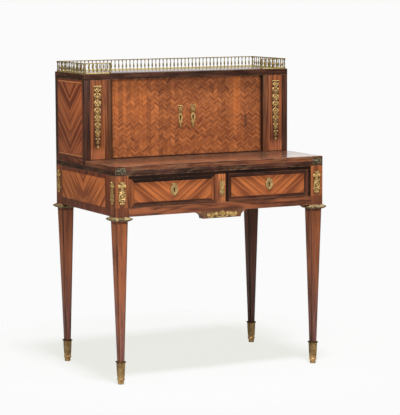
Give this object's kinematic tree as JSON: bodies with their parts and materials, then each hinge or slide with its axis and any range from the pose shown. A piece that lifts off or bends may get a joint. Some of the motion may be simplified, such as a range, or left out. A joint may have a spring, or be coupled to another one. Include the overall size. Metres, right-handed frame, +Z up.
{
  "type": "bonheur du jour",
  "caption": "Small writing desk on tapered legs with frieze drawers, a fold-over writing leaf and a low cabinet with tambour shutters under a pierced brass gallery.",
  "frame": {"origin": "on the floor under the middle of the desk, centre of the footprint of the leg collars", "axes": "+Z up, -Y towards the sitter (front of the case), +X to the sitter's right"},
  "size_m": [0.832, 0.533, 1.08],
  "materials": {
    "leg_veneer": "french polished tulipwood veneer",
    "side_veneer": "french polished tulipwood veneer, quartered",
    "frame_veneer": "french polished kingwood veneer",
    "board_veneer": "french polished dark veneer",
    "panel_veneer": "french polished tulipwood veneer, quartered",
    "dark_moulding": "french polished dark moulding",
    "tambour_veneer": "french polished tulipwood in a herringbone",
    "oak_lining": "waxed oak",
    "back_oak": "plain oak, oiled",
    "inside_wood": "polished plain wood",
    "leather": "gilt-tooled leather, satin",
    "aged_brass": "aged brass",
    "gilt_brass": "gilt, darkened in the recesses",
    "gallery_brass": "polished brass",
    "hinge_brass": "dulled brass",
    "lock_steel": "filed steel"
  },
  "bodies": {
    "carcass": {"apron_mount": "gilt_brass", "back_left_leg": "leg_veneer", "back_rail": "back_oak", "back_right_leg": "leg_veneer", "board_hinge_plates": "hinge_brass", "cabinet_back": "back_oak", "cabinet_floor": "board_veneer", "cabinet_left_side": "side_veneer", "cabinet_right_side": "side_veneer", "cabinet_shelf": "inside_wood", "cabinet_stile_mounts": "gilt_brass", "cabinet_top": "board_veneer", "centre_stile": "frame_veneer", "centre_stile_mount": "gilt_brass", "desk_board": "board_veneer", "desk_leather": "leather", "drawer_runners": "oak_lining", "drawer_stops": "oak_lining", "frieze_corner_mounts": "gilt_brass", "front_bottom_rail": "frame_veneer", "front_left_leg": "leg_veneer", "front_right_leg": "leg_veneer", "front_top_rail": "frame_veneer", "gallery_balusters": "gallery_brass", "gallery_base_rails": "gallery_brass", "gallery_posts": "gallery_brass", "gallery_top_rails": "gallery_brass", "hinge_pins": "hinge_brass", "left_front_stile": "frame_veneer", "left_side_rail": "side_veneer", "left_tambour_slats": "tambour_veneer", "leg_collars": "aged_brass", "leg_sabots": "aged_brass", "pocket_liners": "inside_wood", "right_front_stile": "frame_veneer", "right_side_rail": "side_veneer", "right_tambour_slats": "tambour_veneer"},
    "writing_leaf": {"writing_leaf": "board_veneer", "leaf_leather": "leather", "leaf_hinge_plates": "hinge_brass"},
    "left_drawer": {"left_drawer_bottom": "oak_lining", "left_drawer_escutcheon": "gilt_brass", "left_drawer_frame": "oak_lining", "left_drawer_front": "panel_veneer", "left_drawer_lock": "lock_steel", "left_drawer_moulding": "dark_moulding"},
    "right_drawer": {"right_drawer_bottom": "oak_lining", "right_drawer_escutcheon": "gilt_brass", "right_drawer_frame": "oak_lining", "right_drawer_front": "panel_veneer", "right_drawer_lock": "lock_steel", "right_drawer_moulding": "dark_moulding"},
    "left_tambour": {"left_tambour_escutcheon": "gilt_brass", "left_tambour_keeper": "lock_steel", "left_tambour_lead": "tambour_veneer"},
    "right_tambour": {"right_tambour_escutcheon": "gilt_brass", "right_tambour_lead": "tambour_veneer", "right_tambour_lock": "lock_steel"}
  },
  "joints": [
    {"name": "leaf_hinge", "type": "hinge", "parent": "carcass", "child": "writing_leaf", "pos_m": [0, -0.25275, 0.728], "axis": [1, 0, 0], "range_deg": [0, 180]},
    {"name": "left_drawer_slide", "type": "slide", "parent": "carcass", "child": "left_drawer", "axis": [0, -1, 0], "range_m": [0, 0.32]},
    {"name": "right_drawer_slide", "type": "slide", "parent": "carcass", "child": "right_drawer", "axis": [0, -1, 0], "range_m": [0, 0.32]},
    {"name": "left_tambour_slide", "type": "slide", "parent": "carcass", "child": "left_tambour", "axis": [-1, 0, 0], "range_m": [0, 0.262], "deforming": ["left_tambour_slats"]},
    {"name": "right_tambour_slide", "type": "slide", "parent": "carcass", "child": "right_tambour", "axis": [1, 0, 0], "range_m": [0, 0.262], "deforming": ["right_tambour_slats"]}
  ]
}
